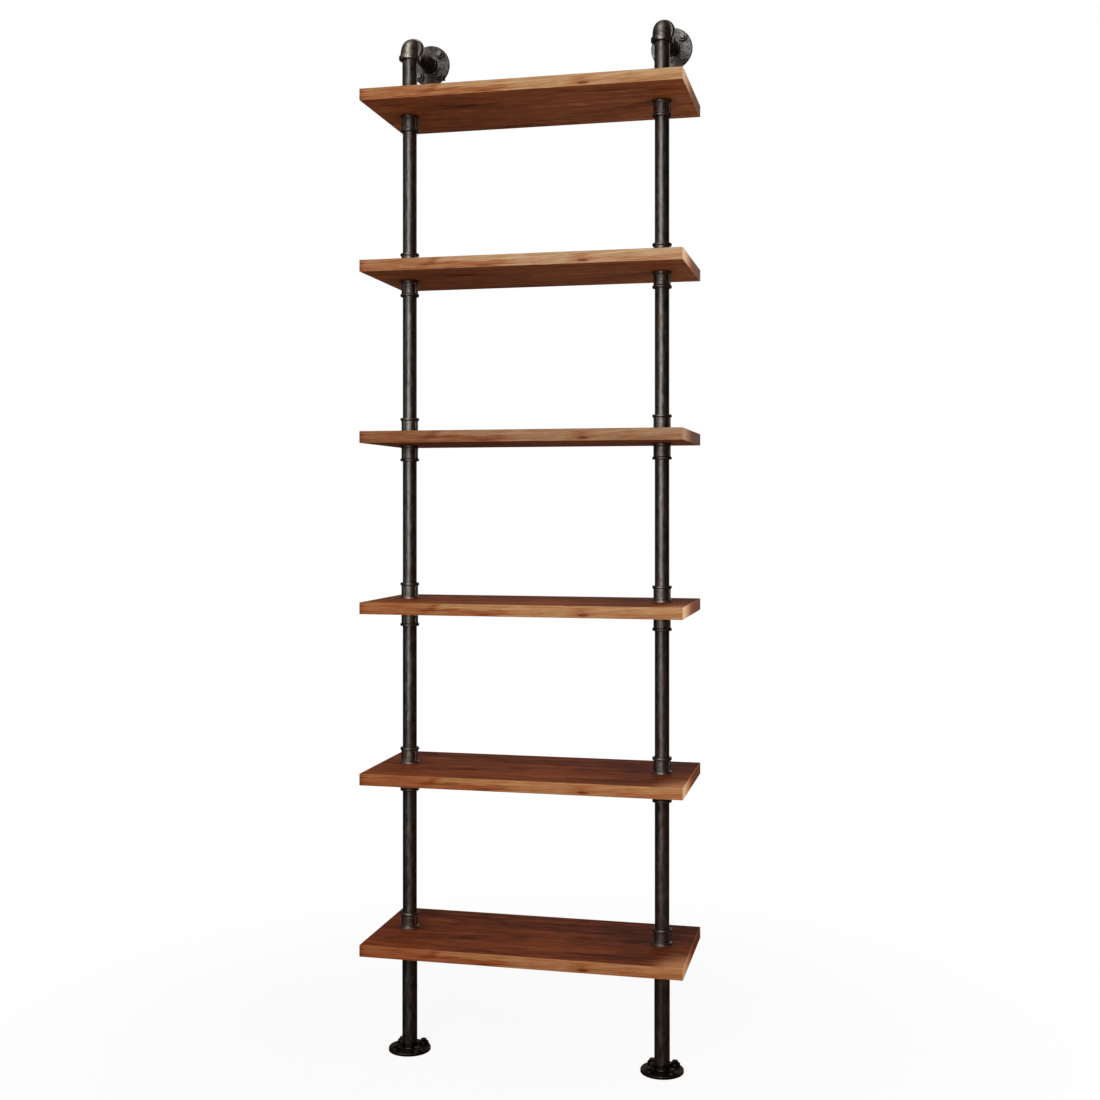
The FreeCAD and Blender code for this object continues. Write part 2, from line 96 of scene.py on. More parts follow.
class Look:
    """The nodes of a material or a world. Their inputs are plain or come from other nodes."""

    def __init__(self, owner):
        owner.use_nodes = True
        self.owner = owner
        self.tree = owner.node_tree
        self.tree.nodes.clear()

    def node(self, kind, inputs=None, **settings):
        """A new node of that kind. An input is a number, a vector, a colour, a value or a socket."""
        made = self.tree.nodes.new("ShaderNode" + kind)
        for key, setting in settings.items():
            setattr(made, key, setting)
        for key, given in (inputs or {}).items():
            source = given.socket if isinstance(given, Value) else given
            if isinstance(source, bpy.types.NodeSocket):
                self.tree.links.new(source, made.inputs[key])
            else:
                made.inputs[key].default_value = source
        return made

    def value(self, kind, inputs, output=0, **settings):
        """That output of a new node, as a value."""
        return Value(self, self.node(kind, inputs, **settings).outputs[output])

    def math(self, operation, first, second=0.0):
        """What that operation makes of one number or two."""
        return self.value("Math", {0: first, 1: second}, operation=operation)

    def vector(self, operation, first, second):
        """What that operation makes of two vectors or colours, part by part."""
        return self.node("VectorMath", {0: first, 1: second}, operation=operation).outputs[0]

    def length(self, vector):
        """How long a vector is."""
        return self.value("VectorMath", {0: vector}, "Value", operation="LENGTH")

    def parts(self, vector):
        """X, Y and Z of a vector."""
        return tuple(Value(self, part) for part in self.node("SeparateXYZ", {0: vector}).outputs)

    def place(self, origin=(0, 0, 0)):
        """Where the surface is, in millimetres from origin, which is in metres."""
        coordinates = self.node("TexCoord").outputs["Object"]
        moved = self.vector("SUBTRACT", coordinates, origin)
        return self.vector("MULTIPLY", moved, alike(MILLIMETRES))

    def facing(self):
        """How far the surface faces along X, Y and Z, each from -1 to 1."""
        return self.parts(self.node("TexCoord").outputs["Normal"])

    def pushed(self, place, distance):
        """place, moved by that distance along each of X, Y and Z."""
        step = self.node("CombineXYZ", {0: distance, 1: distance, 2: distance}).outputs[0]
        return self.vector("ADD", place, step)

    def rise(self, value, low, high):
        """0 below low, 1 above high, smooth between them. With high below low it falls instead."""
        limits = {"Value": value, "From Min": low, "From Max": high}
        return self.value("MapRange", limits, interpolation_type="SMOOTHSTEP")

    def fall(self, value, low, high):
        """1 below low, 0 above high, smooth between them."""
        limits = {"Value": value, "From Min": low, "From Max": high, "To Min": 1.0, "To Max": 0.0}
        return self.value("MapRange", limits, interpolation_type="SMOOTHSTEP")

    def around(self, value, centre, reach):
        """1 at centre, 0 further off than reach."""
        return self.fall(abs(value - centre), 0.0, reach)

    def blob(self, place, centre, reach):
        """1 at the centre of an ellipsoid with those half axes, 0 outside it."""
        away = self.vector("DIVIDE", self.vector("SUBTRACT", place, centre), reach)
        return self.fall(self.length(away), 0.0, 1.0)

    def noise(self, place, frequency, detail=3.0, roughness=0.5, distortion=0.0):
        """Noise about 0.5, with frequency in waves per millimetre along X, Y and Z."""
        inputs = {
            "Vector": self.vector("MULTIPLY", place, frequency),
            "Scale": 1.0,
            "Detail": detail,
            "Roughness": roughness,
            "Distortion": distortion,
        }
        return self.value("TexNoise", inputs)

    def swing(self, place, **waves):
        """The same noise about 0."""
        return self.noise(place, **waves) - 0.5

    # A Mix node has its numbers at inputs 2 and 3, and its colours at inputs 6 and 7 and output 2.

    def blend(self, share, first, second):
        """The first number where share is 0, the second where it is 1."""
        return self.value("Mix", {0: share, 2: first, 3: second}, data_type="FLOAT")

    def mix(self, share, first, second):
        """The first colour where share is 0, the second where it is 1."""
        return self.node("Mix", {0: share, 6: first, 7: second}, data_type="RGBA").outputs[2]

    def ramp(self, value, stops):
        """Colours along a value. Each stop is a position from 0 to 1 and its colour."""
        made = self.node("ValToRGB", {0: value})
        elements = made.color_ramp.elements
        while len(elements) < len(stops):
            elements.new(0.5)
        for element, (position, shade) in zip(elements, stops):
            element.position = position
            element.color = shade
        return made.outputs[0]

    def bump(self, height, strength, distance):
        """Relief for a shader's normal, where a height of 1 stands distance metres proud."""
        inputs = {"Height": height, "Strength": strength, "Distance": distance}
        return self.node("Bump", inputs).outputs[0]

    def crevice(self, distance, low=0.3, high=0.7):
        """1 deep in a corner between pieces, 0 where nothing is within distance metres."""
        open_share = self.value("AmbientOcclusion", {"Distance": distance}, "AO", samples=6)
        return self.fall(open_share, low, high)

    def worn_edge(self, radius):
        """1 where the surface turns within radius metres, 0 on plain surface."""
        rounded = self.node("Bevel", {"Radius": radius}, samples=4).outputs[0]
        flat = self.node("NewGeometry").outputs["Normal"]
        directions = {0: rounded, 1: flat}
        meeting = self.value("VectorMath", directions, "Value", operation="DOT_PRODUCT")
        return self.rise(1.0 - meeting, *TURN_BORDER)

    def finish(self, inputs):
        """The material, with a principled shader that has those inputs."""
        shader = self.node("BsdfPrincipled", inputs)
        self.node("OutputMaterial", {"Surface": shader.outputs[0]})
        return self.owner

    def finish_metal(self, base, roughness, normal):
        """The material as bare metal."""
        metal = {"Metallic": 1.0, "Specular IOR Level": 0.5}
        return self.finish({"Base Color": base, "Roughness": roughness, "Normal": normal, **metal})


# Wood. The boards are alike: the lowest gives their size, and the second one their pitch. On a board
# X runs from its middle to the right, Y from its middle to the back, and Z up from its underside.
# A range is the two places between which a mark comes up or dies out, and a border is the same for a
# share or for noise. A mark that lies around a place has its centre and its reach. Tones go from 0,
# the darkest wood, to 1, the palest, and each mark adds its own.
BOARD_LOW, BOARD_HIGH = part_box("shelf_1")
BOARD_HALF = (BOARD_HIGH - BOARD_LOW) * MILLIMETRES / 2
BOARD_THICKNESS = 2 * BOARD_HALF.z
BOARD_TOP = BOARD_HIGH.z * MILLIMETRES
BOARD_PITCH = (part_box("shelf_2")[1].z - BOARD_HIGH.z) * MILLIMETRES

# How the light on each board, lowest first, differs in red, green and blue, on three kinds of face,
# painted into its wood as tints.
EDGE_LIGHT_TINTS = (
    (0.79, 0.565, 0.455),
    (0.835, 0.63, 0.5),
    (0.9, 0.77, 0.675),
    (0.68, 0.62, 0.66),
    (1.01, 1.02, 1.12),
    (1.02, 0.98, 0.96),
)
FACE_LIGHT_TINTS = (
    (0.8, 0.62, 0.5),
    (1.0, 0.84, 0.7),
    (1.27, 1.18, 1.06),
    (0.78, 0.72, 0.72),
    (0.98, 0.95, 0.95),
    (0.96, 0.9, 0.82),
)
END_LIGHT_TINTS = (
    (0.82, 0.66, 0.54),
    (1.05, 1.0, 0.95),
    (1.12, 1.1, 1.08),
    (0.6, 0.51, 0.48),
    (1.1, 1.1, 1.16),
    (0.94, 0.93, 0.94),
)

DRIFT = {"frequency": (0.006, 0.02, 0.05), "detail": 2.0}
STREAKS = {"frequency": (0.011, 0.15, 0.3), "detail": 4.0, "roughness": 0.62}
THREADS = {"frequency": (0.03, 0.8, 0.9), "detail": 4.0, "roughness": 0.65}
GRAIN_SLOPE = -0.05
GRAIN_SLOPE_X_RANGE = (-60.0, 160.0)


def wood_grain(look, place):
    """The grain along X: slow drift, streaks some millimetres wide and fine threads, each about 0."""
    x, y, z = look.parts(place)
    climb = x * GRAIN_SLOPE * look.rise(x, *GRAIN_SLOPE_X_RANGE)
    along = look.node("CombineXYZ", {0: x, 1: y, 2: z + climb}).outputs[0]
    return {
        "drift": look.swing(place, **DRIFT),
        "streaks": look.swing(along, **STREAKS),
        "threads": look.swing(along, **THREADS),
    }


# The long edges. The grain moves the borders of the wood's parts by so many millimetres.
BORDER_FINGERS = {"streaks": 90.0, "threads": 40.0}
HEIGHT_WAVER = {"drift": 14.0, "streaks": 16.0}
WEDGE_LEAN = 1.3
WEDGE_FINGERS = 0.5
WEDGE_X_RANGE = (-172.0, -158.0)
WEDGE_HEIGHT_RANGE = (9.0, 14.0)
WEDGE_TONE = 0.27
SAPWOOD_FINGERS = 1.3
SAPWOOD_X_RANGE = (-75.0, 15.0)
SAPWOOD_TONE = 0.38
SLANTED_MARK_X_AROUND = (-178.0, 17.0)
SLANTED_MARK_HEIGHT_RANGE = (2.0, 11.0)
HEART_BAND_HEIGHT_AROUND = (7.0, 7.0)
HEART_BAND_X_AROUND = (-105.0, 70.0)
RIGHT_BAND_HEIGHT_AROUND = (7.0, 5.5)
RIGHT_BAND_X_RANGE = (105.0, 170.0)
RIGHT_PART_X_RANGE = (130.0, 190.0)
MIDDLE_PART_X_AROUND = (40.0, 95.0)
MIDDLE_PART_HEIGHT_RANGE = (8.0, 14.0)
LEFT_CORNER_LENGTH = 14.0
MOTTLE = {"frequency": (0.022, 0.05, 0.09), "detail": 4.0, "roughness": 0.6}
EDGE_TONE = 0.29
EDGE_GRAIN_TONES = {"streaks": 1.8, "threads": 1.1}
EDGE_MARK_TONES = {
    "slanted_mark": -0.22,
    "heart_band": -0.08,
    "right_band": -0.2,
    "right_part": 0.07,
    "middle_part": 0.08,
    "upper_part": 0.19,
    "left_corner": -0.2,
    "knot_halo": -0.26,
    "mottle": 0.6,
}
EDGE_COLOURS = (
    (0.0, colour(116, 58, 30)),
    (0.3, colour(157, 96, 55)),
    (0.6, colour(170, 124, 84)),
    (0.85, colour(181, 143, 101)),
    (1.0, colour(196, 161, 119)),
)

# The knot in the front edge, and the dark halo above it. Noise frays the knot's border.
KNOT_CENTRE = (123.0, -BOARD_HALF.y, 7.5)
KNOT_REACH = (20.0, 26.0, 4.4)
KNOT_BORDER = (0.1, 0.75)
KNOT_FRAY = {"frequency": (0.2, 0.2, 0.5)}
KNOT_FRAY_LENGTH = 4.0
KNOT_SHARE = 0.85
KNOT_COLOUR = colour(108, 50, 25)
HALO_CENTRE = (117.0, -BOARD_HALF.y, 13.0)
HALO_REACH = (30.0, 30.0, 18.0)


def edge_wood(look, place, grain):
    """The long edges: red heartwood, a slanted mark, a pale wedge, then tan sapwood with a knot."""
    x, _, z = look.parts(place)
    fingers = weighted(grain, BORDER_FINGERS)
    height = z + weighted(grain, HEIGHT_WAVER)
    lean = x - z * WEDGE_LEAN + fingers * WEDGE_FINGERS
    wedge = look.rise(lean, *WEDGE_X_RANGE) * look.rise(height, *WEDGE_HEIGHT_RANGE)
    sapwood = look.rise(x + fingers * SAPWOOD_FINGERS, *SAPWOOD_X_RANGE)
    pale_tone = look.math("MAXIMUM", wedge * WEDGE_TONE, sapwood * SAPWOOD_TONE)
    slanted_mark = look.around(lean, *SLANTED_MARK_X_AROUND)
    heart_band = look.around(height, *HEART_BAND_HEIGHT_AROUND)
    right_band = look.around(height, *RIGHT_BAND_HEIGHT_AROUND)
    middle_part = look.around(x, *MIDDLE_PART_X_AROUND)
    marks = {
        "slanted_mark": slanted_mark * look.rise(z, *SLANTED_MARK_HEIGHT_RANGE),
        "heart_band": heart_band * look.around(x, *HEART_BAND_X_AROUND),
        "right_band": right_band * look.rise(x, *RIGHT_BAND_X_RANGE),
        "right_part": look.rise(x, *RIGHT_PART_X_RANGE),
        "middle_part": middle_part * look.rise(height, *MIDDLE_PART_HEIGHT_RANGE),
        "upper_part": look.rise(z, 0.0, BOARD_THICKNESS),
        "left_corner": look.fall(x, -BOARD_HALF.x, LEFT_CORNER_LENGTH - BOARD_HALF.x),
        "knot_halo": look.blob(place, HALO_CENTRE, HALO_REACH),
        "mottle": look.swing(place, **MOTTLE),
    }
    tone = EDGE_TONE + pale_tone + weighted(marks, EDGE_MARK_TONES) + weighted(grain, EDGE_GRAIN_TONES)
    frayed = look.pushed(place, look.noise(place, **KNOT_FRAY) * KNOT_FRAY_LENGTH)
    knot = look.rise(look.blob(frayed, KNOT_CENTRE, KNOT_REACH), *KNOT_BORDER)
    return look.mix(knot * KNOT_SHARE, look.ramp(tone, EDGE_COLOURS), KNOT_COLOUR)


# The wide faces, top and underside.
FACE_WAVES = {
    "wide": {"frequency": (0.004, 0.05, 0.02), "roughness": 0.55, "distortion": 0.3},
    "bands": {"frequency": (0.014, 0.14, 0.05), "detail": 4.0, "roughness": 0.65},
    "figure": {"frequency": (0.03, 0.07, 0.05), "detail": 4.0, "roughness": 0.65, "distortion": 0.4},
}
VEINS = {"frequency": (0.004, 0.11, 0.04), "roughness": 0.6, "distortion": 0.4}
VEIN_BORDER = (0.56, 0.74)
STREAK_WANDER = 14.0
FRONT_STREAK_Y_AROUND = (-89.0, 9.0)
FRONT_STREAK_X_AROUND = (175.0, 130.0)
SIDE_STREAK_Y_AROUND = (-44.0, 8.0)
SIDE_STREAK_X_AROUND = (-122.0, 48.0)
PALE_PATCH_CENTRE = (-128.0, -15.0, 0.0)
PALE_PATCH_REACH = (40.0, 8.0, 60.0)
DARK_PATCH_CENTRE = (112.0, -2.0, 0.0)
DARK_PATCH_REACH = (22.0, 7.0, 60.0)
FACE_TONE = 0.42
FACE_WAVE_TONES = {"wide": 1.2, "bands": 1.3, "figure": 0.8, "threads": 0.8}
FACE_MARK_TONES = {
    "veins": -0.3,
    "front_streak": -0.55,
    "side_streak": -0.4,
    "pale_patch": 0.45,
    "dark_patch": -0.35,
}
# Painted light and shade on the underside: lighter towards the right and at the left end, darker at the
# front. Painted shade on the top: darker towards the right and the back.
UNDERSIDE_RIGHT_RANGE = (-200.0, 100.0)
UNDERSIDE_LEFT_RANGE = (-290.0, -170.0)
UNDERSIDE_FRONT_RANGE = (-130.0, 30.0)
UNDERSIDE_PAINTED_LIGHT = {"right": 0.21, "left": 0.14, "front": -0.08}
TOP_RIGHT_RANGE = (20.0, 230.0)
TOP_BACK_RANGE = (-40.0, 80.0)
TOP_PAINTED_SHADE = {"right": -0.28, "back": -0.14}
HEARTWOOD_COLOURS = (
    (0.0, colour(84, 36, 16)),
    (0.4, colour(138, 74, 38)),
    (0.7, colour(162, 92, 50)),
    (1.0, colour(190, 120, 72)),
)

# The sapwood at the right front corner of the top. The grain frays its border.
CORNER_BEYOND_FRONT = 15.0
CORNER_CENTRE = (BOARD_HALF.x, -BOARD_HALF.y - CORNER_BEYOND_FRONT, BOARD_THICKNESS)
CORNER_REACH = (86.0, 124.0, 60.0)
CORNER_BORDER = (0.0, 0.85)
CORNER_FRAY_LENGTH = 45.0
CORNER_SHARE = 0.88
CORNER_FIGURE_RANGE = (-0.25, 0.25)
CORNER_COLOURS = (colour(200, 132, 88), colour(218, 152, 110))


def face_wood(look, place, grain, upward, light_tint):
    """The wide faces: redder, with a few dark streaks, painted light and shade, and sapwood at a top
    corner.
    """
    x, y, _ = look.parts(place)
    waves = {name: look.swing(place, **wave) for name, wave in FACE_WAVES.items()}
    waves["threads"] = grain["threads"]
    wander = y + grain["drift"] * STREAK_WANDER
    front_streak = look.around(wander, *FRONT_STREAK_Y_AROUND)
    side_streak = look.around(wander, *SIDE_STREAK_Y_AROUND)
    marks = {
        "veins": look.rise(look.noise(place, **VEINS), *VEIN_BORDER),
        "front_streak": front_streak * look.around(x, *FRONT_STREAK_X_AROUND),
        "side_streak": side_streak * look.around(x, *SIDE_STREAK_X_AROUND),
        "pale_patch": look.blob(place, PALE_PATCH_CENTRE, PALE_PATCH_REACH),
        "dark_patch": look.blob(place, DARK_PATCH_CENTRE, DARK_PATCH_REACH),
    }
    underside = {
        "right": look.rise(x, *UNDERSIDE_RIGHT_RANGE),
        "left": look.fall(x, *UNDERSIDE_LEFT_RANGE),
        "front": look.fall(y, *UNDERSIDE_FRONT_RANGE),
    }
    top = {"right": look.rise(x, *TOP_RIGHT_RANGE), "back": look.rise(y, *TOP_BACK_RANGE)}
    # Painted light and shade on the two wide faces.
    painted_light_tone = look.blend(upward, weighted(underside, UNDERSIDE_PAINTED_LIGHT), weighted(top, TOP_PAINTED_SHADE))
    mark_tone = weighted(marks, FACE_MARK_TONES)
    tone = FACE_TONE + weighted(waves, FACE_WAVE_TONES) + mark_tone + painted_light_tone
    # Tinted with the board's painted light and shade.
    heartwood = look.vector("MULTIPLY", look.ramp(tone, HEARTWOOD_COLOURS), light_tint)
    frayed = look.pushed(place, (waves["bands"] + grain["threads"]) * CORNER_FRAY_LENGTH)
    corner = look.rise(look.blob(frayed, CORNER_CENTRE, CORNER_REACH), *CORNER_BORDER)
    sapwood = look.mix(look.rise(waves["figure"], *CORNER_FIGURE_RANGE), *CORNER_COLOURS)
    return look.mix(corner * upward * CORNER_SHARE, heartwood, sapwood)


# The ends. Their rings run round a heart that lies below the board, in front of its middle.
HEART = (0.0, -60.0, -95.0)
ACROSS_THE_GRAIN = (0.0, 1.0, 1.0)
RING_WAVER = 20.0
RING_FREQUENCY = 1.9
PORES = {"frequency": (0.3, 1.4, 1.4), "detail": 2.0, "roughness": 0.7}
END_FRONT_RANGE = (-BOARD_HALF.y, 15.0)
END_BACK_RANGE = (-60.0, 50.0)
END_TONE = 0.29
END_TONES = {"front": 0.64, "back": -0.22, "rings": 0.1, "pores": 0.6}
END_COLOURS = (
    (0.0, colour(96, 52, 28)),
    (0.35, colour(150, 92, 56)),
    (0.7, colour(205, 158, 116)),
    (1.0, colour(238, 206, 170)),
)


def end_wood(look, place, grain):
    """The end grain: rings round the heart, pale towards the front corner."""
    _, y, _ = look.parts(place)
    from_heart = look.vector("SUBTRACT", place, HEART)
    radius = look.length(look.vector("MULTIPLY", from_heart, ACROSS_THE_GRAIN))
    marks = {
        "front": look.fall(y, *END_FRONT_RANGE),
        "back": look.rise(y, *END_BACK_RANGE),
        "rings": look.math("SINE", (radius + grain["drift"] * RING_WAVER) * RING_FREQUENCY),
        "pores": look.swing(place, **PORES),
    }
    return look.ramp(END_TONE + weighted(marks, END_TONES), END_COLOURS)


def edge_distance(look, place):
    """How far, in millimetres, a point of a board is from its nearest edge, where two faces meet."""
    x, y, z = look.parts(place)
    from_end = BOARD_HALF.x - abs(x)
    from_side = BOARD_HALF.y - abs(y)
    from_face = BOARD_HALF.z - abs(z - BOARD_HALF.z)
    nearest = look.math("MINIMUM", from_end, from_side)
    other = look.math("MINIMUM", look.math("MAXIMUM", from_end, from_side), from_face)
    return look.math("MAXIMUM", nearest, other)


# A whole board: how its kinds of face meet, its rubbed edges, the shade painted where fittings stand
# close to it, and its gloss.
UPWARD_RANGE = (0.0, 0.5)
WIDE_FACE_RANGE = (0.4, 0.8)
END_FACE_RANGE = (0.5, 0.8)
WEAR_RANGE = (0.2, 1.6)
EVEN_WEAR = 0.1
SCUFF_WEAR = 0.4
SCUFFS = {"frequency": (0.05, 0.15, 0.3)}
SCUFF_BORDER = (0.35, 0.7)
WORN_COLOUR = colour(204, 164, 122)
# Painted shade on the wood close to the fittings, near and further out, and its colour.
NEAR_CONTACT_SHADE = {"distance": 0.012, "low": 0.35, "high": 0.95}
NEAR_CONTACT_SHADE_SHARE = 0.7
FAR_CONTACT_SHADE = {"distance": 0.035, "low": 0.45, "high": 1.0}
FAR_CONTACT_SHADE_SHARE = 0.4
CONTACT_SHADE_COLOUR = colour(38, 18, 10)
WOOD_ROUGHNESS = 0.58
WOOD_ROUGHNESS_BY_THREADS = 0.25
WOOD_ROUGHNESS_BY_WEAR = 0.1
WOOD_RELIEF = {"threads": 1.0, "streaks": 0.5}
WOOD_RELIEF_STRENGTH = 0.35
WOOD_RELIEF_DEPTH = 0.0004
WOOD_SPECULAR = 0.12


def board_wood(number, edge_light_tint, face_light_tint, end_light_tint):
    """Oiled wood of one board, rubbed pale at its edges, with painted shade where fittings meet it."""
    look = Look(bpy.data.materials.new(f"board_{number}_wood"))
    low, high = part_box(f"shelf_{number}")
    place = look.place((0.0, (low.y + high.y) / 2, low.z))
    facing_x, _, facing_z = look.facing()
    upward = look.rise(facing_z, *UPWARD_RANGE)
    grain = wood_grain(look, place)
    # Each kind of face is tinted with the painted light and shade of its board.
    edges = look.vector("MULTIPLY", edge_wood(look, place, grain), edge_light_tint)
    faces = face_wood(look, place, grain, upward, face_light_tint)
    ends = look.vector("MULTIPLY", end_wood(look, place, grain), end_light_tint)
    wood = look.mix(look.rise(abs(facing_z), *WIDE_FACE_RANGE), edges, faces)
    wood = look.mix(look.rise(abs(facing_x), *END_FACE_RANGE), wood, ends)
    scuffs = look.rise(look.noise(place, **SCUFFS), *SCUFF_BORDER)
    wear = look.fall(edge_distance(look, place), *WEAR_RANGE) * (EVEN_WEAR + scuffs * SCUFF_WEAR)
    worn = look.vector("MULTIPLY", WORN_COLOUR[:3], edge_light_tint)
    # Painted shade where a fitting stands close to the wood.
    near_contact_shade = look.crevice(**NEAR_CONTACT_SHADE) * NEAR_CONTACT_SHADE_SHARE
    far_contact_shade = look.crevice(**FAR_CONTACT_SHADE) * FAR_CONTACT_SHADE_SHARE
    contact_shade = look.math("MAXIMUM", near_contact_shade, far_contact_shade)
    dulling = grain["threads"] * WOOD_ROUGHNESS_BY_THREADS + wear * WOOD_ROUGHNESS_BY_WEAR
    relief = weighted(grain, WOOD_RELIEF)
    return look.finish(
        {
            "Base Color": look.mix(contact_shade, look.mix(wear, wood, worn), CONTACT_SHADE_COLOUR),
            "Roughness": WOOD_ROUGHNESS + dulling,
            "Normal": look.bump(relief, WOOD_RELIEF_STRENGTH, WOOD_RELIEF_DEPTH),
            "Specular IOR Level": WOOD_SPECULAR,
        }
    )


# Metal. Its deep, plain and pale colours lie at these tones, and its tone varies about the middle.
METAL_STOPS = (0.1, 0.5, 0.95)
MIDDLE_TONE = 0.5
# Painted shade in the corners between pieces of metal: how near, and its colour.
CREVICE_SHADE_DISTANCE = 0.0022
CREVICE_SHADE_COLOUR = colour(18, 16, 15)


def metal_colour(look, swing, shades):
    """From deep to pale, by how far the tone swings from the middle. Shades are deep, plain and pale."""
    return look.ramp(MIDDLE_TONE + swing, list(zip(METAL_STOPS, shades)))


# Pipe. Mill marks and clouds are drawn out along it.
PIPE_COLOURS = (colour(54, 50, 47), colour(98, 94, 90), colour(138, 133, 129))
MARKS_ALONG = 0.03
MARKS_ACROSS = 0.9
CLOUDS_ALONG = 0.045
CLOUDS_ACROSS = 0.14
PIPE_MARKS = {"roughness": 0.6}
PIPE_CLOUDS = {"detail": 5.0, "roughness": 0.65}
PIPE_GRAINS = {"frequency": alike(0.7), "detail": 4.0, "roughness": 0.7}
PIPE_RUST = {"detail": 4.0, "roughness": 0.7, "distortion": 0.5}
RUST_BORDER = (0.52, 0.68)
RUST_SHARE = 0.4
RUST_COLOUR = colour(92, 68, 56)
PIPE_TONES = {"clouds": 1.3, "marks": 0.6, "grains": 0.7}
PIPE_ROUGHNESS = 0.42
PIPE_ROUGHNESS_BY = {"clouds": 0.35, "grains": 0.2, "rust": 0.08}
PIPE_RELIEF = {"marks": 0.4, "grains": 0.6, "clouds": 0.6}
PIPE_RELIEF_STRENGTH = 0.27
PIPE_RELIEF_DEPTH = 0.0006
LEG_BRIGHTNESS = 0.85
# The arms to the wall are the posts' iron, darkened as painted shade.
ARM_BRIGHTNESS = 0.42


def drawn_out(axis, along, across):
    """Frequencies along X, Y and Z of what is drawn out along that axis."""
    frequency = list(alike(across))
    frequency[axis] = along
    return tuple(frequency)


def pipe_iron(name, axis, brightness=1.0):
    """Black iron pipe along that axis, with lengthwise mill marks and rust-brown clouds."""
    look = Look(bpy.data.materials.new(name))
    place = look.place()
    marks = drawn_out(axis, MARKS_ALONG, MARKS_ACROSS)
    clouds = drawn_out(axis, CLOUDS_ALONG, CLOUDS_ACROSS)
    rust = look.noise(place, drawn_out(axis, CLOUDS_ALONG / 2, CLOUDS_ACROSS / 2), **PIPE_RUST)
    skin = {
        "marks": look.swing(place, frequency=marks, **PIPE_MARKS),
        "clouds": look.swing(place, frequency=clouds, **PIPE_CLOUDS),
        "grains": look.swing(place, **PIPE_GRAINS),
        "rust": look.rise(rust, *RUST_BORDER),
    }
    shades = [dimmed(shade, brightness) for shade in PIPE_COLOURS]
    base = metal_colour(look, weighted(skin, PIPE_TONES), shades)
    base = look.mix(skin["rust"] * RUST_SHARE, base, dimmed(RUST_COLOUR, brightness))
    roughness = PIPE_ROUGHNESS + weighted(skin, PIPE_ROUGHNESS_BY)
    normal = look.bump(weighted(skin, PIPE_RELIEF), PIPE_RELIEF_STRENGTH, PIPE_RELIEF_DEPTH)
    return look.finish_metal(base, roughness, normal)


# Castings. Each kind has deep, plain and pale colours of its own.
COUPLING = {
    "colours": (colour(62, 57, 53), colour(104, 98, 93), colour(160, 154, 148)),
    "crevice_shade": 0.6,
    "lip_highlight": 0.8,
}
# Left and right, the elbows and the wall plates are the same castings. Their colours differ as painted
# light and shade.
ELBOWS = {
    "left": {
        "colours": (colour(76, 71, 67), colour(142, 134, 127), colour(203, 196, 188)),
        "sand": 0.3,
        "mottle": 1.3,
        "polish": 0.05,
    },
    "right": {
        "colours": (colour(56, 52, 49), colour(104, 98, 92), colour(160, 154, 147)),
        "sand": 0.35,
        "mottle": 1.3,
        "polish": 0.04,
    },
}
WALL_PLATES = {
    "left": {
        "colours": (colour(27, 25, 24), colour(74, 71, 68), colour(128, 124, 119)),
        "sand": 0.6,
        "mottle": 1.3,
    },
    "right": {
        "colours": (colour(38, 37, 35), colour(98, 96, 93), colour(160, 157, 152)),
        "sand": 0.6,
        "mottle": 1.3,
    },
}
FLOOR_PLATE = {
    "colours": (colour(30, 25, 22), colour(52, 46, 42), colour(92, 84, 78)),
    "sand": 0.5,
}
FLOOR_SCREW = {
    "colours": (colour(34, 29, 26), colour(56, 50, 46), colour(96, 88, 82)),
    "sand": 0.4,
}
CAST_CLOUDS = {"frequency": alike(0.09), "detail": 4.0, "roughness": 0.65}
CAST_PATCHES = {"frequency": alike(0.3), "detail": 4.0, "roughness": 0.7}
CAST_GRAINS = {"frequency": alike(1.1), "roughness": 0.7}
CLOUD_TONE = 0.9
PATCH_TONE = 0.9
GRAIN_TONE = 0.5
# Metal rubbed bare along the edges and lightened further as a painted highlight: where, how much, and
# its colour.
RUBBED_GLINT_RADIUS = 0.0016
RUBBED_GLINT_PARTS = {"frequency": alike(0.25)}
RUBBED_GLINT_BORDER = (0.3, 0.65)
RUBBED_GLINT_SHARE = 0.8
RUBBED_GLINT_COLOUR = colour(180, 174, 167)
# Painted shade in a casting's corners, near and further out.
CREVICE_SHADE_SHARE = 0.85
FAR_CREVICE_SHADE_DISTANCE = 0.007
FAR_CREVICE_SHADE_SHARE = 0.25
# Painted highlight: a pale rim at the foot of each coupling, where it stands on a board.
LIP_HEIGHT_RANGE = (1.6, 3.0)
LIP_HIGHLIGHT_COLOUR = colour(232, 228, 222)
CAST_ROUGHNESS = 0.41
CAST_ROUGHNESS_BY = {"patches": 0.35, "grains": 0.25, "rubbed_glint": -0.1}
PATCH_RELIEF = 0.8
CAST_RELIEF_STRENGTH = 0.5
CAST_RELIEF_DEPTH = 0.0008


def lip_highlight_share(look, place):
    """1 where a coupling stands on a board, 0 from a few millimetres above it."""
    _, _, z = look.parts(place)
    height = look.math("FLOORED_MODULO", z - BOARD_TOP, BOARD_PITCH)
    return look.fall(height, *LIP_HEIGHT_RANGE)


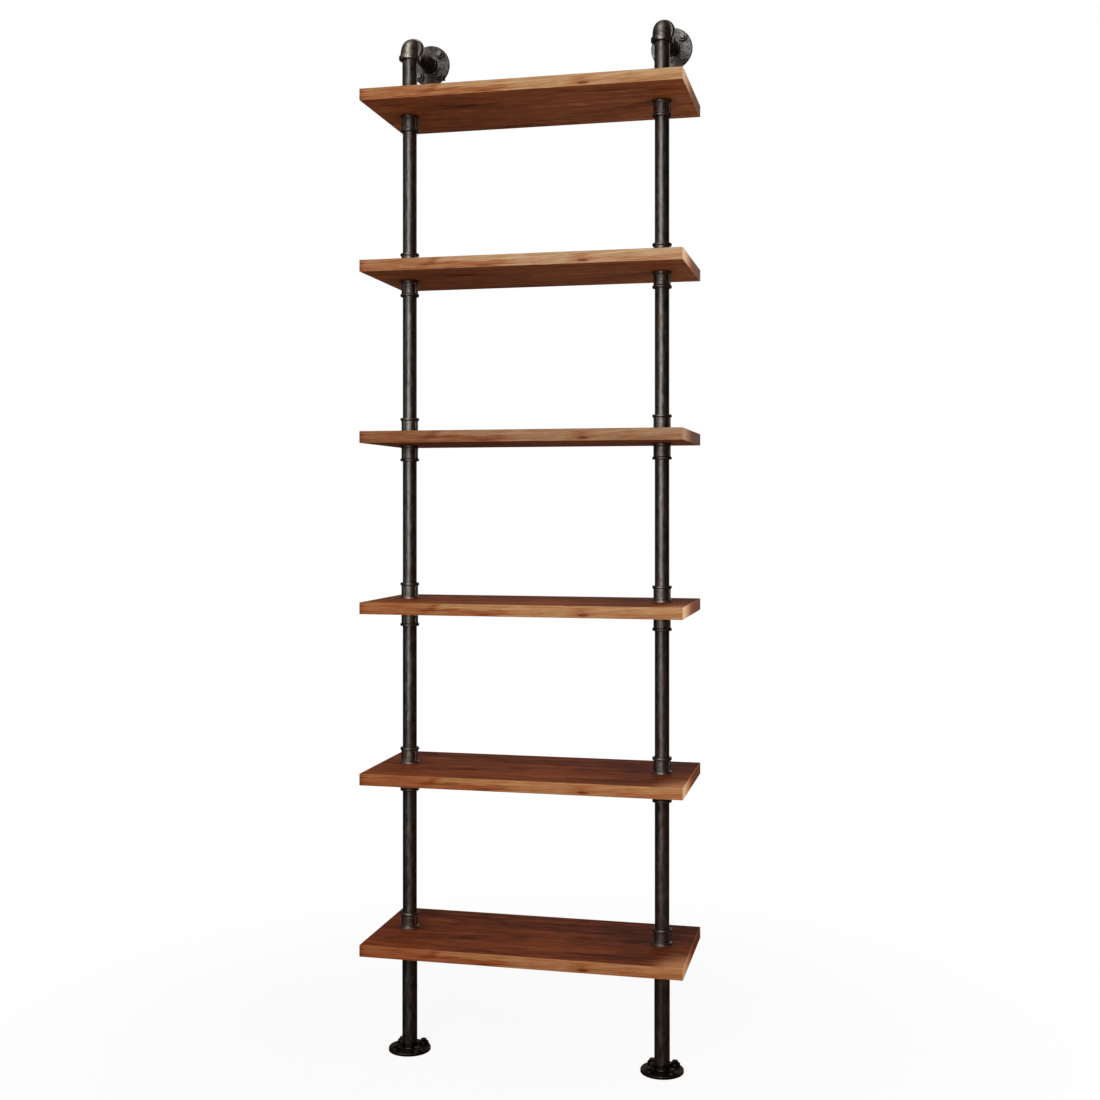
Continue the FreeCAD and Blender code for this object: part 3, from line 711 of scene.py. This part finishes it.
def cast_iron(name, colours, sand=0.45, mottle=1.0, polish=0.0, crevice_shade=1.0, lip_highlight=0.0):
    """Cast fitting: mottled sandy skin, painted shade in its corners, and metal rubbed bare along its
    edges, lightened further as a painted highlight.

    sand is how rough its relief is, mottle how patchy its colour, and polish how much smoother it is
    than a plain casting. crevice_shade is how much painted shade its corners hold, and lip_highlight
    how bright a painted highlight a coupling's rim gets where it stands on a board.
    """
    look = Look(bpy.data.materials.new(name))
    place = look.place()
    rubbed_glint_parts = look.rise(look.noise(place, **RUBBED_GLINT_PARTS), *RUBBED_GLINT_BORDER)
    skin = {
        "clouds": look.swing(place, **CAST_CLOUDS),
        "patches": look.swing(place, **CAST_PATCHES),
        "grains": look.swing(place, **CAST_GRAINS),
        "rubbed_glint": look.worn_edge(RUBBED_GLINT_RADIUS) * rubbed_glint_parts,
    }
    tones = {"clouds": CLOUD_TONE * mottle, "patches": PATCH_TONE * mottle, "grains": GRAIN_TONE}
    base = metal_colour(look, weighted(skin, tones), colours)
    # Edges rubbed bare, lightened further as a painted highlight.
    base = look.mix(skin["rubbed_glint"] * RUBBED_GLINT_SHARE, base, RUBBED_GLINT_COLOUR)
    # Painted shade in the corners.
    near_crevice_shade = look.crevice(CREVICE_SHADE_DISTANCE) * (CREVICE_SHADE_SHARE * crevice_shade)
    far_crevice_shade = look.crevice(FAR_CREVICE_SHADE_DISTANCE) * FAR_CREVICE_SHADE_SHARE
    base = look.mix(look.math("MAXIMUM", near_crevice_shade, far_crevice_shade), base, CREVICE_SHADE_COLOUR)
    # Painted highlight on a coupling's rim where it stands on a board.
    if lip_highlight:
        base = look.mix(lip_highlight_share(look, place) * lip_highlight, base, LIP_HIGHLIGHT_COLOUR)
    roughness = CAST_ROUGHNESS - polish + weighted(skin, CAST_ROUGHNESS_BY)
    relief = weighted(skin, {"grains": sand, "patches": PATCH_RELIEF})
    normal = look.bump(relief, CAST_RELIEF_STRENGTH, CAST_RELIEF_DEPTH)
    return look.finish_metal(base, roughness, normal)


# The screws in the wall.
SCREW_COLOURS = (colour(60, 58, 56), colour(100, 97, 93), colour(150, 146, 140))
SCREW_CLOUDS = {"frequency": alike(0.35), "roughness": 0.6}
SCREW_SCRATCHES = {"frequency": (2.2, 0.5, 2.2), "roughness": 0.7}
SCREW_TONES = {"clouds": 1.0, "scratches": 0.6}
SCUFFED_RADIUS = 0.0009
SCUFFED_SHARE = 0.5
SCUFFED_COLOUR = colour(186, 181, 174)
# Painted shade round the screw heads.
SCREW_CREVICE_SHADE_SHARE = 0.8
SCREW_ROUGHNESS = 0.34
SCREW_ROUGHNESS_BY = {"clouds": 0.3, "scratches": 0.15}
SCREW_RELIEF = {"clouds": 1.0, "scratches": 0.5}
SCREW_RELIEF_STRENGTH = 0.3
SCREW_RELIEF_DEPTH = 0.0004


def screw_steel(name):
    """Dull steel screws, scuffed where a wrench has held them."""
    look = Look(bpy.data.materials.new(name))
    place = look.place()
    skin = {
        "clouds": look.swing(place, **SCREW_CLOUDS),
        "scratches": look.swing(place, **SCREW_SCRATCHES),
    }
    base = metal_colour(look, weighted(skin, SCREW_TONES), SCREW_COLOURS)
    base = look.mix(look.worn_edge(SCUFFED_RADIUS) * SCUFFED_SHARE, base, SCUFFED_COLOUR)
    # Painted shade in the corners round the screws.
    base = look.mix(look.crevice(CREVICE_SHADE_DISTANCE) * SCREW_CREVICE_SHADE_SHARE, base, CREVICE_SHADE_COLOUR)
    roughness = SCREW_ROUGHNESS + weighted(skin, SCREW_ROUGHNESS_BY)
    normal = look.bump(weighted(skin, SCREW_RELIEF), SCREW_RELIEF_STRENGTH, SCREW_RELIEF_DEPTH)
    return look.finish_metal(base, roughness, normal)


def dress(node, material):
    """Gives a CAD node that material in every slot."""
    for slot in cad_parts[node].material_slots:
        slot.material = material


def dress_boards():
    """Each board gets wood tinted with painted light and shade of its own."""
    for number, light_tints in enumerate(zip(EDGE_LIGHT_TINTS, FACE_LIGHT_TINTS, END_LIGHT_TINTS), start=1):
        dress(f"shelf_{number}", board_wood(number, *light_tints))


def dress_pipes():
    """The posts, and darker the legs, the nipples in the boards and the arms to the wall."""
    post = pipe_iron("post_iron", Z_AXIS)
    leg = pipe_iron("leg_iron", Z_AXIS, LEG_BRIGHTNESS)
    # Painted shade: the arms' iron darker than the posts'.
    arm = pipe_iron("arm_iron", Y_AXIS, ARM_BRIGHTNESS)
    for side in SIDES:
        dress(f"leg_pipe_{side}", leg)
        dress(f"shelf_nipples_{side}", leg)
        dress(f"top_pipe_{side}", post)
        dress(f"wall_pipe_{side}", arm)
        for number in range(1, SHELF_COUNT):
            dress(f"post_pipe_{number}_{side}", post)


def dress_fittings():
    """The couplings and flanges on the floor are alike, the elbows and flanges on the wall differ.

    Left from right, the elbows and the wall flanges differ in painted light and shade.
    """
    coupling = cast_iron("coupling_iron", **COUPLING)
    floor_plate = cast_iron("floor_plate_iron", **FLOOR_PLATE)
    for side in SIDES:
        dress(f"elbow_{side}", cast_iron(f"elbow_{side}_iron", **ELBOWS[side]))
        dress(f"wall_flange_{side}", cast_iron(f"wall_plate_{side}_iron", **WALL_PLATES[side]))
        dress(f"floor_flange_{side}", floor_plate)
        for number in range(1, SHELF_COUNT + 1):
            dress(f"coupling_lower_{number}_{side}", coupling)
            dress(f"coupling_upper_{number}_{side}", coupling)


def dress_screws():
    """Steel in the wall, and as dark as the flanges in the floor."""
    wall_screw = screw_steel("wall_screw_steel")
    floor_screw = cast_iron("floor_screw_iron", **FLOOR_SCREW)
    for side in SIDES:
        dress(f"wall_screws_{side}", wall_screw)
        dress(f"floor_screws_{side}", floor_screw)


# The floor, a square. The camera sees it nearly white, and white further out. Metal mirrors it dim,
# and warmer to the right.
FLOOR_HALF = 12.0
PAPER_TOOTH = {"frequency": alike(0.4)}
PAPER_GREYS = ((0.42, 0.42, 0.42, 1.0), (0.48, 0.48, 0.48, 1.0))
PAPER_WHITE = (0.98, 0.98, 0.98, 1.0)
MIRRORED_FLOOR = ((0.03, 0.028, 0.026, 1.0), (0.17, 0.1, 0.066, 1.0))
MIRRORED_FLOOR_RANGE = (-1200.0, 800.0)
WHITE_SHARE = 0.92
WHITE_RANGE = (400.0, 1400.0)


def floor_paper():
    """Pale paper that shades into plain white further from the unit."""
    look = Look(bpy.data.materials.new("floor_paper"))
    place = look.place()
    x, _, _ = look.parts(place)
    path = look.node("LightPath")
    seen = Value(look, path.outputs["Is Camera Ray"])
    paper = look.mix(look.noise(place, **PAPER_TOOTH), *PAPER_GREYS)
    mirrored = look.mix(look.rise(x, *MIRRORED_FLOOR_RANGE), *MIRRORED_FLOOR)
    paper = look.mix(path.outputs["Is Glossy Ray"], paper, mirrored)
    paper = look.mix(seen, paper, PAPER_WHITE)
    matte = look.node("BsdfDiffuse", {"Color": paper}).outputs[0]
    white = look.node("Emission", {"Color": WHITE, "Strength": 1.0}).outputs[0]
    further = look.rise(look.length(place), *WHITE_RANGE)
    share = seen * (WHITE_SHARE + further * (1.0 - WHITE_SHARE))
    mixed = look.node("MixShader", {0: share, 1: matte, 2: white}).outputs[0]
    look.node("OutputMaterial", {"Surface": mixed})
    return look.owner


def add_floor():
    """A pale floor that runs out into the white round it and keeps the shadow of the unit."""
    mesh = bpy.data.meshes.new("floor")
    corners = [(x, y, 0) for x in (-FLOOR_HALF, FLOOR_HALF) for y in (-FLOOR_HALF, FLOOR_HALF)]
    mesh.from_pydata(corners, [], [(0, 2, 3, 1)])
    mesh.materials.append(floor_paper())
    floor = bpy.data.objects.new("floor", mesh)
    bpy.context.scene.collection.objects.link(floor)


# The world. X, Y and Z are parts of a direction of length 1, to the right, to the back and up. A
# patch of the room that metal mirrors is full where each of its parts has gone from the first number
# to the second.
ROOM_LIGHT = (0.27, 0.235, 0.2, 1.0)
MIRRORED_LEFT = (0.085, 0.08, 0.074, 1.0)
MIRRORED_RIGHT = (0.048, 0.032, 0.021, 1.0)
MIRRORED_SHOULDER = (0.19, 0.18, 0.168, 1.0)
MIRRORED_BACKDROP = (0.35, 0.33, 0.3, 1.0)
MIRRORED_REAR = (1.3, 1.27, 1.22, 1.0)
MIRRORED_STRIP = (1.3, 1.28, 1.25, 1.0)
MIRRORED_CEILING = (3.0, 2.95, 2.9, 1.0)
RIGHT_PATCH = (("X", -0.5, 0.6),)
SHOULDER_PATCH = (("X", -1.0, -0.8), ("X", -0.45, -0.65), ("Y", 0.1, -0.3))
BACKDROP_PATCH = (("Y", 0.86, 0.97),)
REAR_PATCH = (("X", 0.06, 0.14), ("X", 0.48, 0.36), ("Y", 0.7, 0.85), ("Z", -0.45, -0.2))
STRIP_PATCH = (("X", -0.55, -0.3), ("X", 0.2, -0.02), ("Y", 0.25, -0.1), ("Z", 0.15, 0.4))
CEILING_PATCH = (("Z", 0.4, 0.7),)


def add_world():
    """Soft warm room light, which the camera sees as white.

    Metal mirrors a dim room instead, with a paler shoulder at the left front, a pale backdrop, a
    bright strip at the rear and another in front, which is brightest towards the ceiling.
    """
    world = bpy.data.worlds.new("studio")
    bpy.context.scene.world = world
    look = Look(world)
    generated = look.node("TexCoord").outputs["Generated"]
    direction = look.node("SeparateXYZ", {0: generated}).outputs

    def patch(limits):
        """1 where the direction lies within all the limits, 0 outside them."""
        return math.prod(look.rise(direction[axis], low, high) for axis, low, high in limits)

    room = look.mix(patch(RIGHT_PATCH), MIRRORED_LEFT, MIRRORED_RIGHT)
    room = look.mix(patch(SHOULDER_PATCH), room, MIRRORED_SHOULDER)
    room = look.mix(patch(BACKDROP_PATCH), room, MIRRORED_BACKDROP)
    room = look.mix(patch(REAR_PATCH), room, MIRRORED_REAR)
    strip = look.mix(patch(CEILING_PATCH), MIRRORED_STRIP, MIRRORED_CEILING)
    room = look.mix(patch(STRIP_PATCH), room, strip)
    path = look.node("LightPath")
    lit = look.mix(path.outputs["Is Glossy Ray"], ROOM_LIGHT, room)
    shown = look.mix(path.outputs["Is Camera Ray"], lit, WHITE)
    background = look.node("Background", {"Color": shown})
    look.node("OutputWorld", {"Surface": background.outputs[0]})


# The lamps: where each one is, what it points at, its width and height, and its power.
KEY = {"place": (-0.26, -2.85, 1.6), "target": (0.0, 0.0, 1.3), "size": (1.3, 2.4), "power": 50.0}
FILL = {"place": (2.3, -0.9, 1.1), "target": (0.0, 0.0, 1.0), "size": (1.0, 2.2), "power": 34.0}
BACK_FILL = {"place": (0.0, 3.0, 1.2), "target": (0.0, 0.0, 1.1), "size": (1.6, 2.2), "power": 12.0}
LEFT_RIM = {"place": (-2.0, 2.0, 1.4), "target": (0.0, 0.0, 1.2), "size": (0.6, 2.0), "power": 0.8}
RIGHT_RIM = {"place": (2.0, 2.0, 1.4), "target": (0.0, 0.0, 1.2), "size": (0.6, 2.0), "power": 0.3}


def add_lamp(name, place, target, size, power, mirrored=True):
    """A soft box at place that points at target; metal doesn't mirror one that is only a fill."""
    data = bpy.data.lights.new(name, "AREA")
    data.shape = "RECTANGLE"
    data.size, data.size_y = size
    data.energy = power
    lamp = bpy.data.objects.new(name, data)
    lamp.location = place
    lamp.rotation_euler = (Vector(target) - Vector(place)).to_track_quat("-Z", "Y").to_euler()
    lamp.visible_camera = False
    lamp.visible_glossy = mirrored
    bpy.context.scene.collection.objects.link(lamp)


def add_lamps():
    """A tall soft box left of the camera, fills at the right and behind, and two weak rim lamps."""
    add_lamp("key", **KEY)
    add_lamp("fill", **FILL, mirrored=False)
    add_lamp("back_fill", **BACK_FILL, mirrored=False)
    add_lamp("rim_left", **LEFT_RIM)
    add_lamp("rim_right", **RIGHT_RIM)


# The camera, worked out from the boards' edges in the photograph: its place, its turn to the left in
# degrees, its lens in millimetres and its shift as a share of the picture.
CAMERA_PLACE = (0.62774, -2.62656, 1.04590)
CAMERA_TURN = 12.876
CAMERA_LENS = 46.592
CAMERA_SHIFT = (0.00038, -0.04108)


def add_camera():
    """A level camera at the photograph's viewing angle."""
    data = bpy.data.cameras.new("camera")
    data.lens = CAMERA_LENS
    data.shift_x, data.shift_y = CAMERA_SHIFT
    camera = bpy.data.objects.new("camera", data)
    camera.location = CAMERA_PLACE
    camera.rotation_euler = (math.radians(90), 0, math.radians(CAMERA_TURN))
    bpy.context.scene.collection.objects.link(camera)
    bpy.context.scene.camera = camera


bpy.context.scene.view_settings.view_transform = "Standard"
add_camera()
add_world()
add_floor()
add_lamps()
dress_boards()
dress_pipes()
dress_fittings()
dress_screws()
